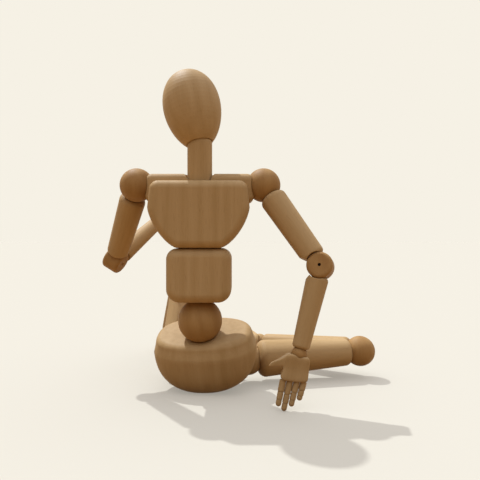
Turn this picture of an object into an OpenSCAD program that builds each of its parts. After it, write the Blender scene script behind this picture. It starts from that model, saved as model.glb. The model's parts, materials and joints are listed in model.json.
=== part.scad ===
// Jointed wooden artist's figure, about 300 mm tall when it stands.
// It is drawn seated: left knee raised, right leg folded, right hand on the floor.
// Millimetres, +Z up. The figure faces -Y and its left side is +X.

/* [Head and neck] */
// Height of the egg-shaped head
head_h = 43.5; // [40:0.5:47]
// Widest diameter of the head
head_d = 30; // [27:0.5:33]
// Diameter of the neck
neck_d = 12.6; // [12:0.2:13.2]
// Length of the neck between its two joints
neck_len = 21.5; // [20:0.5:25]

/* [Chest] */
// Width of the chest block
chest_w = 50.6; // [48:0.2:53]
// Height of the chest block
chest_h = 34.4; // [33:0.2:36]
// Depth of the chest block, front to back
chest_depth = 26; // [24:0.5:28]
// Rounding of the edges of the chest block
chest_edge = 4; // [3:0.25:5]
// Length of the shoulder yoke
yoke_w = 55.2; // [54:0.2:56]
// Height of the shoulder yoke
yoke_h = 14.8; // [14.2:0.2:16]
// Depth of the shoulder yoke, front to back
yoke_depth = 16; // [15:0.5:17]

/* [Belly and pelvis] */
// Width of the belly block
belly_w = 32.4; // [30:0.2:35]
// Height of the belly block
belly_h = 27; // [25:0.2:31]
// Depth of the belly block
belly_depth = 25; // [23:0.5:27]
// Diameter of the waist ball
waist_ball_d = 22.6; // [21.8:0.2:23.4]
// Width of the pelvis
pelvis_w = 52; // [51:0.5:54]
// Height of the pelvis
pelvis_h = 31.4; // [30.4:0.2:32.4]
// Depth of the pelvis
pelvis_depth = 32; // [31:0.5:34]
// Diameter of the bore under the pelvis for a stand rod
stand_bore_d = 4.2; // [3.4:0.1:5]
// Depth of the stand bore
stand_bore_depth = 11; // [9:0.5:12]

/* [Arms] */
// Distance between the shoulder centres
shoulder_span = 65.2; // [64.8:0.2:66.4]
// Diameter of a shoulder ball
shoulder_ball_d = 17.4; // [16.8:0.2:18]
// Shoulder centre to elbow centre
upper_arm_len = 51.5; // [48:0.5:56]
// Diameter of the upper arm at the shoulder
upper_arm_top_d = 13.6; // [13:0.2:14.4]
// Diameter of the upper arm at the elbow
upper_arm_low_d = 12; // [11.4:0.2:12.6]
// Diameter of the elbow disc
elbow_d = 12.8; // [12.4:0.2:13.2]
// Thickness of the elbow disc
elbow_w = 10; // [9:0.2:11]
// Elbow centre to wrist centre
forearm_len = 43; // [41:0.5:46]
// Diameter of the forearm at the elbow
forearm_top_d = 10.8; // [10.2:0.2:11.4]
// Diameter of the forearm at the wrist
forearm_low_d = 8.4; // [8:0.2:9]
// Diameter of a wrist ball
wrist_ball_d = 7.6; // [7.4:0.1:7.9]

/* [Hands] */
// Width of the palm across the knuckles
palm_w = 13.4; // [13:0.1:14.2]
// Thickness of the palm
palm_t = 5; // [4.6:0.1:5.6]
// Wrist centre to the knuckles
palm_len = 13.2; // [12.4:0.1:14]
// Diameter of a finger
finger_d = 2.6; // [2.4:0.05:2.7]
// Length of the longest finger beyond its knuckle
finger_len = 13.4; // [13:0.1:15]

/* [Legs] */
// Distance between the hip centres
hip_span = 40; // [39:0.5:42]
// Diameter of a hip ball
hip_ball_d = 17; // [16.4:0.2:17.4]
// Hip centre to knee centre
thigh_len = 66.5; // [64:0.5:70]
// Diameter of the thigh at the hip
thigh_top_d = 20.4; // [19.4:0.2:21]
// Diameter of the thigh at the knee
thigh_low_d = 15.4; // [14.8:0.2:16]
// Diameter of a knee ball
knee_ball_d = 17.2; // [16.8:0.2:17.8]
// Knee centre to ankle centre
shin_len = 68; // [66:0.5:72]
// Diameter of the shin at the knee
shin_top_d = 15; // [14.4:0.2:15.6]
// Diameter of the shin at the ankle
shin_low_d = 11; // [10.4:0.2:11.6]
// Diameter of an ankle ball
ankle_ball_d = 10.4; // [10:0.2:10.8]
// Length of a foot
foot_len = 36; // [33:0.5:40]
// Width of a foot at the toes
foot_w = 15; // [14:0.5:17]
// Ankle centre above the sole
ankle_h = 13; // [12.6:0.2:14]

/* [Springs and pins] */
// Diameter of the spring wire
wire_d = 0.7; // [0.6:0.05:0.75]
// Diameter of the bars that the springs hook on
bar_d = 1.4; // [1.2:0.05:1.6]
// Diameter of the elbow pins
elbow_pin_d = 1.6; // [1.4:0.05:1.7]
// Diameter of the bores that hold the springs
bore_d = 4.6; // [4.5:0.05:4.8]

/* [Fits] */
// Gap between a ball and its cup
cup_gap = 0.3; // [0.2:0.05:0.4]
// Gap between pieces that turn face to face
face_gap = 0.2; // [0.15:0.05:0.3]
// Room round a piece that is glued or pressed in
glue_gap = 0.02; // [0.01:0.01:0.04]

/* [Seated pose] */
// Backward tilt of the pelvis
pelvis_tilt = 16; // [12:1:18]
// Lean of the pelvis to its left
pelvis_lean = 3; // [2:0.5:4]
// Turn of the pelvis to its right
pelvis_turn = 8; // [5:1:11]
// Lean of the head to the left
head_lean = 12; // [6:1:13]
// Bow of the head
head_bow = 11; // [4:1:12]

/* [Hidden] */
$fn = 48;
LEFT = 1;
RIGHT = -1;
HULL_FN = 32;
BIG = 60;

// Rest angles of the limbs: turns about X, Y and Z in that order
right_arm_aim = [36, -12, 74];
right_elbow_bend = 48;
left_arm_aim = [-28, -30, -11];
left_elbow_bend = 100;
right_leg_aim = [10, -92, 180];
right_knee_bend = 137;
left_leg_aim = [-147, -9, 12];
right_hand_lean = -13;
right_foot_flex = 34;
left_foot_turn = 2;
// Waist ball from the middle of the footprint
waist_xy = [20.8, 52.8];

// Distances from a joint's centre to the wood that seats on it
waist_seat = 10.2;
pelvis_seat = 7.4;
shoulder_seat = 7.4;
elbow_seat = 4.9;
wrist_seat = 2.6;
hip_seat = 5.7;
knee_seat = 6.6;
ankle_seat = 3.6;
head_seat = 0.8;
// Rounding of the ends of a turned limb, as a share of its radius
rim_share = 0.4;

// Largest fold of an elbow and of a knee, and the room left on the fold's plane
elbow_fold = 112;
knee_fold = 139;
fold_gap = 0.4;

// Swing that the passages in the balls leave for the springs
shoulder_play = 33;
elbow_play = 40;
hip_play = 36;
knee_upper_play = 39;
knee_lower_play = 58;
play_back = 12;
ankle_play = 34;
neck_play = 12;
waist_play = 18;
wrist_play = 24;
nod_play = 26;

// Springs: a close coil with a hooked loop at each end
wire_r = wire_d / 2;
bar_r = bar_d / 2;
bore_r = bore_d / 2;
loop_r = 1.75;
loop_shift = 0.8;
coil_r = 1.5;
coil_ribs = 7;
coil_clear = 3;
eye_r = 2.9;
passage_w = wire_d + 0.8;
passage_from = 1.6;
anchor_r = 3;
anchor_t = 1.2;
// Linked loops at the waist, the wrists and the head
link_r = 1.15;
link_reach = 0.6;
link_room = 2 * link_r - link_reach + wire_d;
link_way = wire_r + 0.5;

// Chest, measured up from its underside
shoulder_rise = 32.1;
neck_rise = 31;
neck_back = 2.6;
chest_back = 15;
chest_low_r = 18.8;
chest_top_r = 5;
yoke_front = -9;
yoke_bottom = shoulder_rise - yoke_h / 2 - 1.9;
yoke_edge = 3.6;
yoke_corner_turn = 4;
yoke_anchor = 10.5;
neck_pin_len = 18;
torso_ledge = 19;

// Pelvis, measured from the waist ball's centre
pelvis_shift = -6;
pelvis_low_r = 20;
pelvis_edge = 8;
pelvis_top_r = 9;
hip_back = -18;
hip_drop = 32.8;
hip_anchor = 7;
eye_depth = 16.5;
stand_spot_r = 4;
stand_y = -4;
thigh_room = 1;

// Head: an egg of this fullness, with the neck's cup under it
egg_full = 0.1;
head_rise = 19.4;
head_eye_len = 11;

// Belly
belly_edge = 5.4;
belly_low_r = 9;
belly_low_edge = 4.4;
belly_back = 1.5;

// Hand: knuckles across the palm, index first, and what each finger has of the longest
knuckle_x = [4.7, 1.5, -1.6, -4.7];
knuckle_up = [0.4, 0.4, -0.2, -0.7];
finger_share = [0.9, 1, 0.88, 0.66];
finger_lean = [5, 5, 4, 1];
phalanges = [0.44, 0.31, 0.25];
finger_taper = 0.08;
palm_top = 3.9;
palm_neck = 0.6;
palm_slant = 1.2;
thumb_root = [3.2, 0, -6.4];
thumb_tip = [10.6, 0, -8.2];
wrist_eye_len = 9;

// Foot
heel_back = 9;
heel_d = 12;
heel_h = 9.6;
toe_h = 6;
foot_edge = 2.4;

function turn(p, a) =
    let (x = [p.x, p.y * cos(a.x) - p.z * sin(a.x), p.y * sin(a.x) + p.z * cos(a.x)],
         y = [x.x * cos(a.y) + x.z * sin(a.y), x.y, x.z * cos(a.y) - x.x * sin(a.y)])
    [y.x * cos(a.z) - y.y * sin(a.z), y.x * sin(a.z) + y.y * cos(a.z), y.z];
function unturn(p, a) =
    let (z = [p.x * cos(a.z) + p.y * sin(a.z), p.y * cos(a.z) - p.x * sin(a.z), p.z],
         y = [z.x * cos(a.y) - z.z * sin(a.y), z.y, z.x * sin(a.y) + z.z * cos(a.y)])
    [y.x, y.y * cos(a.x) + y.z * sin(a.x), y.z * cos(a.x) - y.y * sin(a.x)];

// The tilted pelvis rests on its lower rims, which are rings of round section
pelvis_aim = [-pelvis_tilt, pelvis_lean, -pelvis_turn];
pelvis_down = unturn([0, 0, -1], pelvis_aim);
pelvis_low_at = [pelvis_w / 2 - pelvis_low_r, pelvis_depth / 2 - pelvis_edge,
                 pelvis_low_r - pelvis_seat - pelvis_h];
pelvis_reach = max([for (sx = [-1, 1], sy = [-1, 1])
    [sx * pelvis_low_at.x, pelvis_shift + sy * pelvis_low_at.y, pelvis_low_at.z] * pelvis_down])
    + (pelvis_low_r - pelvis_edge) * sqrt(1 - pelvis_down.y * pelvis_down.y) + pelvis_edge;

// Joint centres and the way each piece points
waist_at = [waist_xy.x, waist_xy.y, pelvis_reach];
chest_at = waist_at + [0, 0, waist_seat + belly_h + face_gap];
neck_at = chest_at + [0, neck_back, neck_rise];
head_at = neck_at + [0, 0, neck_len];
head_aim = [head_bow, head_lean, 0];
function shoulder_at(s) = chest_at + [s * shoulder_span / 2, 0, shoulder_rise];
function arm_aim(s) = s == LEFT ? left_arm_aim : right_arm_aim;
function elbow_bend(s) = s == LEFT ? left_elbow_bend : right_elbow_bend;
function elbow_aim(s) = arm_aim(s) - [elbow_bend(s) / 2, 0, 0];
function forearm_aim(s) = arm_aim(s) - [elbow_bend(s), 0, 0];
function elbow_at(s) = shoulder_at(s) + turn([0, 0, -upper_arm_len], arm_aim(s));
function wrist_at(s) = elbow_at(s) + turn([0, 0, -forearm_len], forearm_aim(s));
function hip_at(s) = waist_at + turn([s * hip_span / 2, hip_back, -hip_drop], pelvis_aim);
function leg_aim(s) = s == LEFT ? left_leg_aim : right_leg_aim;
function knee_at(s) = hip_at(s) + turn([0, 0, -thigh_len], leg_aim(s));
// The left shin comes down until its foot stands on the floor
left_shin_x = -acos((knee_at(LEFT).z - ankle_h) / (shin_len * cos(left_leg_aim.y)));
function knee_bend(s) = s == LEFT ? left_shin_x - left_leg_aim.x : right_knee_bend;
function knee_aim(s) = leg_aim(s) + [knee_bend(s) / 2, 0, 0];
function shin_aim(s) = leg_aim(s) + [knee_bend(s), 0, 0];
function ankle_at(s) = knee_at(s) + turn([0, 0, -shin_len], shin_aim(s));
function foot_aim(s) = s == LEFT ? [0, 0, left_foot_turn] : shin_aim(RIGHT) + [right_foot_flex, 0, 0];
// The right hand tips until its longest finger touches the floor
fingertip_r = finger_d / 2 * (1 - 2 * finger_taper);
finger_drop = palm_len + knuckle_up[1] + (finger_len - fingertip_r) * cos(finger_lean[1]);
finger_side = knuckle_x[1] - (finger_len - fingertip_r) * sin(finger_lean[1]);
right_hand_tip = acos(min(1, (wrist_at(RIGHT).z - fingertip_r - finger_side * sin(right_hand_lean))
    / (finger_drop * cos(right_hand_lean))));
function hand_aim(s) = s == LEFT ? forearm_aim(LEFT) : [right_hand_tip, right_hand_lean, 0];
function knuckle(i) = [knuckle_x[i], 0, -palm_len - knuckle_up[i]];
function knuckle_at(s, i) = let (k = knuckle(i)) wrist_at(s) + turn([-s * k.x, k.y, k.z], hand_aim(s));

// A shoulder or hip ball swings about the trunk's X until its bar is square to the limb
function swing_of(u) = atan2(u.y, -u.z);
function spread_of(u) = asin(-u.x);
function arm_dir(s) = turn([0, 0, -1], arm_aim(s));
function leg_dir(s) = unturn(turn([0, 0, -1], leg_aim(s)), pelvis_aim);
function shoulder_swing(s) = [swing_of(arm_dir(s)), 0, 0];
function hip_swing(s) = [swing_of(leg_dir(s)), 0, 0];
function shoulder_bar(s) = turn([0, 1, 0], shoulder_swing(s));
function hip_bar(s) = turn(turn([0, 1, 0], hip_swing(s)), pelvis_aim);
// Turn of a loop about its limb, so that it hangs square on a bar or link
function roll_of(bar, aim) = let (b = unturn(bar, aim)) atan2(b.y, b.x);
function hand_hinge(s) = turn([1, 0, 0], hand_aim(s));

// Joints: name, centre and axis
function arm_joints(s, side) = [
    [str(side, "_shoulder_swing"), shoulder_at(s), [1, 0, 0]],
    [str(side, "_shoulder_spread"), shoulder_at(s), shoulder_bar(s)],
    [str(side, "_arm_twist"), shoulder_at(s), turn([0, 0, 1], arm_aim(s))],
    [str(side, "_elbow_upper"), elbow_at(s), turn([1, 0, 0], arm_aim(s))],
    [str(side, "_elbow_lower"), elbow_at(s), turn([1, 0, 0], arm_aim(s))],
    [str(side, "_wrist_turn"), wrist_at(s), turn([0, 0, 1], forearm_aim(s))],
    [str(side, "_wrist_bend"), wrist_at(s), hand_hinge(s)],
    for (i = [0:3]) [str(side, "_knuckle_", i), knuckle_at(s, i), hand_hinge(s)]];
function leg_joints(s, side) = [
    [str(side, "_hip_swing"), hip_at(s), turn([1, 0, 0], pelvis_aim)],
    [str(side, "_hip_spread"), hip_at(s), hip_bar(s)],
    [str(side, "_leg_twist"), hip_at(s), turn([0, 0, 1], leg_aim(s))],
    [str(side, "_knee_upper"), knee_at(s), turn([1, 0, 0], leg_aim(s))],
    [str(side, "_knee_lower"), knee_at(s), turn([1, 0, 0], leg_aim(s))],
    [str(side, "_ankle_bend"), ankle_at(s), turn([1, 0, 0], shin_aim(s))]];
trunk_joints = [
    ["waist_side_bend", waist_at, turn([0, 1, 0], pelvis_aim)],
    ["waist_bend", waist_at, [1, 0, 0]],
    ["chest_turn", chest_at, [0, 0, 1]],
    ["neck_tilt", neck_at, [1, 0, 0]],
    ["head_nod", head_at, [1, 0, 0]],
    ["head_turn", head_at, turn([0, 0, 1], head_aim)]];
stand_mouth = [0, stand_y, -pelvis_seat - pelvis_h + 1];
for (j = concat(trunk_joints, arm_joints(LEFT, "left"), arm_joints(RIGHT, "right"),
                leg_joints(LEFT, "left"), leg_joints(RIGHT, "right")))
    echo("joint", j[0], j[1], j[2]);
echo("stand", waist_at + turn(stand_mouth, pelvis_aim), turn([0, 0, -1], pelvis_aim));
echo("sole", ankle_at(LEFT) - [0, 0, ankle_h]);

// Wood and steel
module light_wood() { color([0.72, 0.56, 0.36]) children(); }
module ball_wood() { color([0.55, 0.36, 0.2]) children(); }
module steel() { color([0.66, 0.67, 0.69]) children(); }

// Frames of the pieces that move
module in_pelvis() { translate(waist_at) rotate(pelvis_aim) children(); }
module in_chest() { translate(chest_at) children(); }
module in_neck() { translate(neck_at) children(); }
module in_head() { translate(head_at) rotate(head_aim) children(); }
module in_shoulder(s) { translate(shoulder_at(s)) rotate(shoulder_swing(s)) children(); }
module in_arm(s) { translate(shoulder_at(s)) rotate(arm_aim(s)) children(); }
module in_elbow(s) { translate(elbow_at(s)) rotate(elbow_aim(s)) children(); }
module in_forearm(s) { translate(elbow_at(s)) rotate(forearm_aim(s)) children(); }
module in_hand(s) { translate(wrist_at(s)) rotate(hand_aim(s)) sided(s) children(); }
module in_hip(s) { translate(hip_at(s)) rotate(pelvis_aim) rotate(hip_swing(s)) children(); }
module in_leg(s) { translate(hip_at(s)) rotate(leg_aim(s)) children(); }
module in_knee(s) { translate(knee_at(s)) rotate(knee_aim(s)) children(); }
module in_shin(s) { translate(knee_at(s)) rotate(shin_aim(s)) children(); }
module in_foot(s) { translate(ankle_at(s)) rotate(foot_aim(s)) sided(s) children(); }
// Right-hand shapes, mirrored for the left
module sided(s) { mirror([s == LEFT ? 1 : 0, 0, 0]) children(); }
module across() { rotate([0, 90, 0]) children(); }

// A ring of wire in the YZ plane
module loop(r) { across() rotate_extrude() translate([r, 0]) circle(wire_r); }

// Points of a quarter round in a profile
function arc(c, r, a0, a1) = [for (i = [0:6]) let (a = a0 + (a1 - a0) * i / 6) c + r * [cos(a), sin(a)]];
// A turned limb below its joint: a taper with rounded ends
module limb(len, top_d, low_d, top_seat, low_seat) {
    top_rim = rim_share * top_d / 2;
    low_rim = rim_share * low_d / 2;
    rotate_extrude()
        polygon(concat([[0, -len + low_seat]],
            arc([low_d / 2 - low_rim, -len + low_seat + low_rim], low_rim, -90, 0),
            arc([top_d / 2 - top_rim, -top_seat - top_rim], top_rim, 0, 90),
            [[0, -top_seat]]));
}
// Half-space on the inner side of a fold through the joint's centre.
// side is the sign of Y that the joint folds to; up is 1 above the joint, -1 below it
module fold_room(fold, side, up) {
    rotate([-side * up * (180 - fold) / 2, 0, 0])
        translate([-BIG / 2, side > 0 ? -fold_gap / 2 : fold_gap / 2 - BIG, -BIG / 2]) cube(BIG);
}
module cup(d) { sphere(d = d + 2 * cup_gap); }
module saddle() { across() cylinder(d = elbow_d + 2 * cup_gap, h = BIG, center = true); }
module spring_bore(len) { translate([0, 0, -len]) cylinder(r = bore_r, h = len); }

// A close coil between two heights, ribbed like its turns
module coil(top, low) {
    rotate_extrude() {
        translate([0, low]) square([coil_r, wire_d]);
        translate([0, top - wire_d]) square([coil_r, wire_d]);
        translate([coil_r - wire_r, low]) square([wire_r, top - low]);
        for (i = [0:coil_ribs])
            translate([coil_r, low + wire_r + (top - low - wire_d) * i / coil_ribs]) circle(wire_r);
    }
}
// Loop on a bar at the origin, with its shank down to a coil
module bar_loop(shift, low) {
    translate([shift, 0, 0]) loop(loop_r);
    translate([shift, 0, low - wire_r]) cylinder(r = wire_r, h = wire_r - low - loop_r);
}
// One loop of a linked pair at the origin, with its shank down to low
module link_loop(low) {
    translate([0, 0, link_reach - link_r]) loop(link_r);
    translate([0, 0, low]) cylinder(r = wire_r, h = link_reach - 2 * link_r - low);
}
// Limb spring between two bars, its upper loop turned about the limb by roll
module spring(len, top_seat, low_seat, roll) {
    top = -top_seat - coil_clear;
    low = -len + low_seat + coil_clear;
    rotate([0, 0, roll]) bar_loop(loop_shift, top);
    coil(top, low);
    translate([0, 0, -len]) mirror([0, 0, 1]) bar_loop(-loop_shift, -low - len);
}
// Spring from a ball's bar to a washer behind a ledge
module anchored_spring(ball_d, depth) {
    top = -ball_d / 2 - 1;
    bar_loop(-loop_shift, top);
    coil(top, -depth);
    anchor_core(-depth);
    translate([0, 0, -depth - anchor_t]) cylinder(r = anchor_r, h = anchor_t);
}
// Core that joins a washer to the end of its coil
module anchor_core(z) { translate([0, 0, z - wire_r]) cylinder(r = coil_r - wire_r, h = wire_d); }
// Bore and washer chamber for such a spring
module anchor_bore(depth) {
    translate([0, 0, -depth]) cylinder(r = bore_r, h = depth);
    translate([0, 0, -depth - anchor_t - face_gap]) cylinder(r = anchor_r + cup_gap, h = anchor_t + 2 * face_gap);
}

// Ball with a hollow core and a bar along X for spring loops.
// Each way out is [angle from +Z about X, swing one way, swing the other way, place along the bar]
module eye_ball(d, ways) {
    difference() {
        rotate([180, 0, 0]) across() sphere(d = d);
        difference() {
            rotate([180, 0, 0]) across() sphere(eye_r);
            across() cylinder(r = bar_r, h = d, center = true);
        }
        for (w = ways) rotate([w[0], 0, 0]) passage(d, w[1], w[2], w[3]);
    }
}
module passage(r, to, back, shift) {
    translate([shift - passage_w / 2, 0, 0]) across() rotate([0, 0, 180 - to])
        rotate_extrude(angle = to + back) translate([passage_from, 0]) square([r, passage_w]);
}
// Flared way out of a linked ball, upward
module flare(d, play) { cylinder(r1 = link_way, r2 = link_way + d * tan(play), h = d); }

// Lower half of a ring that faces +Y, of outer radius r and round section
module half_ring(r, section) {
    rotate([90, 0, 0]) rotate_extrude(angle = -180) translate([r - section, 0]) circle(section);
}

// Trunk
module pelvis_block() {
    hull($fn = HULL_FN)
        for (sx = [-1, 1], sy = [-1, 1]) {
            translate([sx * pelvis_low_at.x, pelvis_shift + sy * pelvis_low_at.y, pelvis_low_at.z])
                half_ring(pelvis_low_r, pelvis_edge);
            translate([sx * (pelvis_w / 2 - pelvis_top_r - 0.6),
                       pelvis_shift + sy * (pelvis_depth / 2 - pelvis_top_r), -pelvis_seat - pelvis_top_r])
                sphere(pelvis_top_r);
        }
}
module pelvis() {
    light_wood() in_pelvis() difference() {
        pelvis_block();
        cup(waist_ball_d);
        translate([0, 0, -eye_depth]) cylinder(r = wire_r + glue_gap, h = eye_depth);
        for (s = [LEFT, RIGHT]) translate([s * hip_span / 2, hip_back, -hip_drop]) {
            cup(hip_ball_d);
            rotate([0, s * 90, 0]) anchor_bore(hip_span / 2 - hip_anchor);
        }
        for (s = [LEFT, RIGHT]) leg_room(s);
        translate([0, stand_y, -pelvis_seat - pelvis_h - 1]) {
            cylinder(d = stand_bore_d, h = stand_bore_depth + 2);
            cylinder(r = stand_spot_r, h = 2);
        }
    }
}
// Room in front of the hip for the raised thigh
module leg_room(s) {
    translate([s * hip_span / 2, hip_back, -hip_drop]) sided(-s) unturned_thigh();
}
module unturned_thigh() {
    dir = leg_dir(LEFT);
    lean = spread_of(dir);
    rotate([swing_of(dir), 0, 0]) rotate([0, lean, 0]) mirror([0, 0, 1])
        translate([0, 0, -thigh_room]) cylinder(d = thigh_top_d + 2 * thigh_room, h = BIG);
}
module pelvis_eye() {
    steel() in_pelvis() link_loop(-eye_depth + glue_gap);
}
module waist_ball() {
    ball_wood() in_pelvis() difference() {
        across() sphere(d = waist_ball_d);
        across() sphere(link_room);
        mirror([0, 0, 1]) flare(waist_ball_d, waist_play);
        rotate([pelvis_tilt, 0, 0]) flare(waist_ball_d, waist_play);
    }
}
module belly() {
    light_wood() translate(waist_at) difference() {
        hull($fn = HULL_FN)
            for (sx = [-1, 1], sy = [-1, 1]) {
                translate([sx * (belly_w / 2 - belly_low_r), sy * (belly_depth / 2 - belly_low_edge) + belly_back,
                           waist_seat + belly_low_r]) half_ring(belly_low_r, belly_low_edge);
                translate([sx * (belly_w / 2 - belly_edge), sy * (belly_depth / 2 - belly_edge) + belly_back,
                           waist_seat + belly_h - belly_edge]) sphere(belly_edge);
            }
        cup(waist_ball_d);
        cylinder(r = bore_r, h = BIG);
    }
}
module torso_spring() {
    low = waist_ball_d / 2 + 1;
    top = waist_seat + belly_h + face_gap + torso_ledge + face_gap;
    steel() translate(waist_at) {
        rotate([180, 0, 90]) link_loop(-low - wire_r);
        coil(top, low);
        anchor_core(top);
        translate([0, 0, top]) cylinder(r = anchor_r, h = anchor_t);
    }
}
module chest_block() {
    low_x = chest_w / 2 - chest_low_r;
    mid_y = chest_back - chest_depth / 2;
    light_wood() in_chest() difference() {
        hull($fn = HULL_FN)
            for (sx = [-1, 1], sy = [-1, 1]) {
                translate([sx * low_x, mid_y + sy * (chest_depth / 2 - chest_edge), chest_low_r])
                    half_ring(chest_low_r, chest_edge);
                translate([sx * (chest_w / 2 - chest_top_r - 0.4), mid_y + sy * (chest_depth / 2 - chest_edge),
                           chest_h - chest_top_r]) sphere(chest_edge);
            }
        translate([-BIG / 2, yoke_front + yoke_depth - BIG, yoke_bottom]) cube(BIG);
        translate([0, 0, -1]) cylinder(r = bore_r, h = torso_ledge + 1);
        translate([0, 0, torso_ledge]) cylinder(r = anchor_r + cup_gap, h = BIG);
        neck_well();
    }
}
module shoulder_yoke() {
    mid_y = yoke_front + yoke_depth / 2;
    light_wood() in_chest() difference() {
        hull($fn = HULL_FN)
            for (sx = [-1, 1], sy = [-1, 1], sz = [0, 1])
                translate([sx * (yoke_w / 2 - yoke_edge), mid_y + sy * (yoke_depth / 2 - yoke_edge),
                           yoke_bottom + yoke_edge + sz * (yoke_h - 2 * yoke_edge)])
                    rotate([0, 0, yoke_corner_turn]) sphere(yoke_edge);
        for (s = [LEFT, RIGHT]) translate([s * shoulder_span / 2, 0, shoulder_rise]) {
            cup(shoulder_ball_d);
            rotate([0, s * 90, 0]) anchor_bore(shoulder_span / 2 - yoke_anchor);
        }
        neck_well();
        translate([0, neck_back, neck_rise]) across() cylinder(r = bar_r, h = neck_pin_len, center = true);
    }
}
// Room for the neck's round foot over its whole tilt
module neck_well() {
    translate([0, neck_back, neck_rise]) {
        across() sphere(d = neck_d + 2 * cup_gap);
        for (a = [-1, 0, 1]) rotate([a * neck_play, 0, 0]) cylinder(d = neck_d + 2 * cup_gap, h = BIG);
    }
}
module neck_pin() {
    steel() in_neck() across() cylinder(r = bar_r, h = neck_pin_len, center = true);
}
module neck() {
    light_wood() in_neck() difference() {
        union() {
            sphere(d = neck_d);
            cylinder(d = neck_d, h = neck_len);
            translate([0, 0, neck_len]) sphere(d = neck_d);
        }
        translate([0, 0, -neck_d]) cylinder(r = bore_r, h = neck_d + neck_len);
        across() cylinder(r = bar_r + face_gap / 4, h = BIG, center = true);
        translate([0, 0, neck_len]) {
            sphere(link_room);
            rotate(head_aim) flare(neck_d, nod_play);
        }
    }
}
module neck_spring() {
    low = loop_r + coil_clear;
    top = neck_len - link_room - coil_clear;
    steel() in_neck() {
        mirror([0, 0, 1]) bar_loop(0, -low);
        coil(top, low);
        translate([0, 0, neck_len]) link_loop(top - neck_len - wire_r);
    }
}
module head_eye() {
    steel() in_head() rotate([180, 0, 90]) link_loop(-head_eye_len);
}
// Radius of the egg at height share u, from -1 at the chin to 1 at the crown
function egg_r(u) = head_d / 2 * sqrt(max(0, 1 - u * u)) * (1 + egg_full * u) / (1 + egg_full * egg_full);
module head() {
    light_wood() in_head() difference() {
        translate([0, 0, head_rise])
            rotate_extrude() polygon([for (i = [0:28]) let (u = -cos(180 * i / 28)) [egg_r(u), u * head_h / 2]]);
        translate([-BIG / 2, -BIG / 2, head_seat - BIG]) cube(BIG);
        cup(neck_d);
        cylinder(r = wire_r + face_gap, h = head_eye_len + face_gap);
    }
}

// Arms
module shoulder_spring(s) {
    steel() in_shoulder(s) rotate([0, s * 90, 0]) rotate([0, 0, 90])
        anchored_spring(shoulder_ball_d, shoulder_span / 2 - yoke_anchor);
}
module shoulder_ball(s) {
    ball_wood() in_shoulder(s) rotate([0, 0, 90])
        eye_ball(shoulder_ball_d, [[-s * 90, 8, 8, -loop_shift],
            [180 + spread_of(arm_dir(s)), shoulder_play, shoulder_play, loop_shift]]);
}
module upper_arm_spring(s) {
    steel() in_arm(s) spring(upper_arm_len, shoulder_seat, elbow_seat, roll_of(shoulder_bar(s), arm_aim(s)));
}
module upper_arm(s) {
    light_wood() in_arm(s) difference() {
        limb(upper_arm_len, upper_arm_top_d, upper_arm_low_d, shoulder_seat, elbow_seat);
        cup(shoulder_ball_d);
        spring_bore(upper_arm_len);
        translate([0, 0, -upper_arm_len]) {
            saddle();
            fold_room(elbow_fold, -1, 1);
        }
    }
}
module elbow_disc(s) {
    edge = 1.6;
    bend = elbow_bend(s) / 2;
    ball_wood() in_elbow(s) difference() {
        across() rotate_extrude() polygon(concat([[0, -elbow_w / 2]],
            arc([elbow_d / 2 - edge, edge - elbow_w / 2], edge, -90, 0),
            arc([elbow_d / 2 - edge, elbow_w / 2 - edge], edge, 0, 90), [[0, elbow_w / 2]]));
        across() sphere(eye_r);
        rotate([bend, 0, 0]) passage(elbow_d, elbow_play, elbow_play, -loop_shift);
        rotate([180 - bend, 0, 0]) passage(elbow_d, elbow_play, elbow_play, loop_shift);
        across() cylinder(d = elbow_pin_d, h = BIG, center = true);
    }
}
module elbow_pin(s) {
    steel() in_elbow(s) across() cylinder(d = elbow_pin_d, h = elbow_w - 2, center = true);
}
module forearm(s) {
    light_wood() in_forearm(s) difference() {
        limb(forearm_len, forearm_top_d, forearm_low_d, elbow_seat, wrist_seat);
        saddle();
        fold_room(elbow_fold, -1, -1);
        spring_bore(forearm_len);
        translate([0, 0, -forearm_len]) cup(wrist_ball_d);
    }
}
module forearm_spring(s) {
    top = -elbow_seat - coil_clear;
    low = wrist_ball_d / 2 + 1 - forearm_len;
    steel() in_forearm(s) {
        bar_loop(loop_shift, top);
        coil(top, low);
        translate([0, 0, -forearm_len]) rotate([0, 0, roll_of(hand_hinge(s), forearm_aim(s))])
            rotate([180, 0, 0]) link_loop(-low - forearm_len - wire_r);
    }
}
module wrist_ball(s) {
    ball_wood() translate(wrist_at(s)) difference() {
        sphere(d = wrist_ball_d);
        sphere(link_room);
        rotate(forearm_aim(s)) cylinder(r = link_way, h = wrist_ball_d);
        rotate(hand_aim(s)) mirror([0, 0, 1]) flare(wrist_ball_d, wrist_play);
    }
}
module wrist_eye(s) {
    steel() in_hand(s) rotate([0, 0, 90]) link_loop(-wrist_eye_len);
}
module hand(s) {
    light_wood() in_hand(s) difference() {
        union() {
            hull($fn = HULL_FN)
                for (x = [-1, 1]) {
                    translate([x * (palm_w - palm_t) / 2 * palm_neck, 0, -palm_top - palm_t / 2]) sphere(d = palm_t);
                    translate([x * (palm_w - palm_t) / 2, 0, -palm_len + palm_t / 2 + (1 - x) / 2 * palm_slant])
                        sphere(d = palm_t);
                }
            thumb();
        }
        cup(wrist_ball_d);
        translate([0, 0, -wrist_eye_len - glue_gap]) cylinder(r = wire_r + glue_gap, h = wrist_eye_len);
        for (i = [0:3]) translate(knuckle(i)) rotate([90, 0, 0]) sphere(d = finger_d + 2 * face_gap);
    }
}
module thumb() {
    way = thumb_tip - thumb_root;
    translate(thumb_root) rotate([0, atan2(way.x, way.z), 0]) {
        cylinder(d1 = palm_t * 0.86, d2 = finger_d, h = norm(way));
        translate([0, 0, norm(way)]) sphere(d = finger_d);
    }
}
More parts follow.
